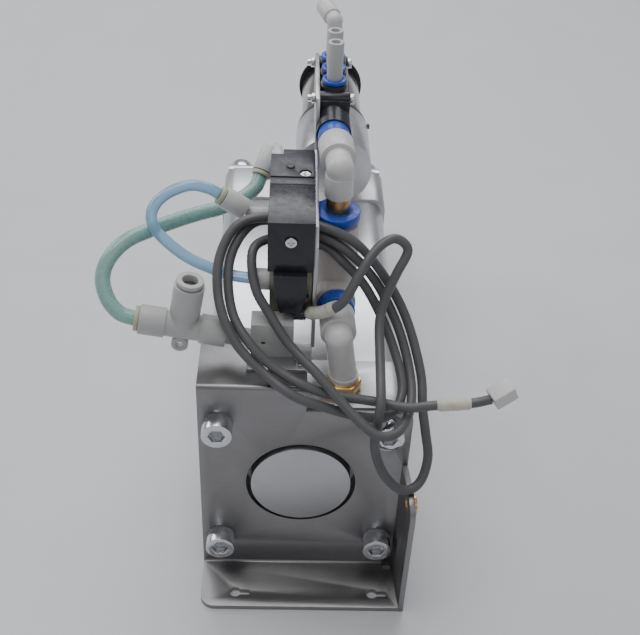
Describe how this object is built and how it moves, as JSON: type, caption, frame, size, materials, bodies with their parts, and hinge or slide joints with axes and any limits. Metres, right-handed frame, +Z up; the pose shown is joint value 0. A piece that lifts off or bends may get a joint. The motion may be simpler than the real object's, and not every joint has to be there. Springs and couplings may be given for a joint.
{
  "type": "pneumatic gripper",
  "caption": "Wedge-driven parallel gripper on a square-barrel air cylinder with a bent mounting bracket, small ejector cylinder, solenoid valve, push-in fittings and electric lead.",
  "frame": {"origin": "on the underside of the bracket's foot, below the cylinder axis, in the plane of the bracket's front face", "axes": "+X to the right seen from the bracket, +Y along the cylinder towards the jaws, +Z up"},
  "size_m": [0.2155, 0.4021, 0.2754],
  "materials": {
    "bracket_steel": "brushed stainless sheet with smudges",
    "brass": "turned brass",
    "zinc": "bright zinc plate",
    "cast_aluminium": "die cast, fine grain",
    "anodised_barrel": "silver anodised, satin",
    "machined_aluminium": "milled, satin",
    "steel": "ground steel",
    "chromed_rod": "hard chrome",
    "dark_aluminium": "dark anodised",
    "black_steel": "black oxide",
    "black_rubber": "matt rubber",
    "bronze": "oiled bronze",
    "tube_steel": "polished tube",
    "plate_steel": "zinc plated sheet",
    "valve_metal": "cast, olive grey",
    "black_plastic": "glossy black",
    "grey_black_plastic": "moulded, fine grain",
    "light_plastic": "light grey moulded",
    "white_plastic": "white moulded",
    "beige_plastic": "warm white moulded",
    "cream_plastic": "cream moulded",
    "blue_plastic": "blue moulded",
    "supply_tube": "translucent green tube",
    "pilot_tube": "translucent blue tube",
    "lead_grey": "grey sheath",
    "sleeve_cream": "heat-shrink sleeve"
  },
  "bodies": {
    "frame": {"mounting_bracket": "bracket_steel", "side_insert": "brass", "bracket_screws": "zinc", "rear_cap": "cast_aluminium", "barrel": "anodised_barrel", "tie_rods": "steel", "front_cap": "cast_aluminium", "rod_bush": "bronze", "rod_wiper": "black_rubber", "support_foot": "machined_aluminium", "support_screws": "zinc", "gripper_housing": "dark_aluminium", "housing_screws": "black_steel", "side_covers": "steel", "ejector_rear_head": "machined_aluminium", "ejector_tube": "tube_steel", "ejector_front_head": "black_steel", "ejector_band": "dark_aluminium", "valve_plate": "plate_steel", "valve_body": "valve_metal", "solenoid_housing": "black_plastic", "pilot_housing": "grey_black_plastic", "valve_screws": "zinc", "valve_connector": "black_plastic", "valve_base": "light_plastic", "valve_fittings": "white_plastic", "release_collars": "cream_plastic", "tee_body": "light_plastic", "supply_tube": "supply_tube", "pilot_tube": "pilot_tube", "brass_hex": "brass", "lower_elbow": "white_plastic", "union_elbow": "beige_plastic", "upper_elbow": "white_plastic", "manifold": "black_plastic", "manifold_collars": "blue_plastic", "manifold_plugs": "light_plastic", "manifold_elbow": "white_plastic", "manifold_screws": "zinc", "lead": "lead_grey", "lead_sleeves": "sleeve_cream", "lead_plug": "white_plastic"},
    "drive_rod": {"piston": "machined_aluminium", "piston_seals": "black_rubber", "stop_tube": "steel", "piston_rod": "chromed_rod", "drive_wedge": "steel"},
    "jaw_left": {"base_jaw_left": "steel", "finger_left": "machined_aluminium", "finger_screws_left": "black_steel", "finger_pad_left": "black_rubber"},
    "jaw_right": {"base_jaw_right": "steel", "finger_right": "machined_aluminium", "finger_screws_right": "black_steel", "finger_pad_right": "black_rubber"},
    "ejector": {"ejector_piston": "machined_aluminium", "ejector_rod": "chromed_rod", "pusher_plate": "plate_steel"},
    "valve_override": {"override_button": "grey_black_plastic"},
    "port_collar": {"tee_collar": "light_plastic"}
  },
  "joints": [
    {"name": "rod_slide", "type": "slide", "parent": "frame", "child": "drive_rod", "axis": [0, 1, 0], "range_m": [0, 0.018]},
    {"name": "jaw_left_slide", "type": "slide", "parent": "frame", "child": "jaw_left", "axis": [1, 0, 0], "range_m": [0, 0.009]},
    {"name": "jaw_right_slide", "type": "slide", "parent": "frame", "child": "jaw_right", "axis": [-1, 0, 0], "range_m": [0, 0.009]},
    {"name": "ejector_slide", "type": "slide", "parent": "frame", "child": "ejector", "axis": [0, 1, 0], "range_m": [0, 0.05]},
    {"name": "override_press", "type": "slide", "parent": "frame", "child": "valve_override", "axis": [0, 0, -1], "range_m": [0, 0.001]},
    {"name": "collar_press", "type": "slide", "parent": "frame", "child": "port_collar", "axis": [-0.1701, 0, -0.9854], "range_m": [0, 0.001]}
  ],
  "couplings": [
    {"joint": "jaw_left_slide", "follows": "rod_slide", "ratio": 0.5},
    {"joint": "jaw_right_slide", "follows": "rod_slide", "ratio": 0.5}
  ]
}
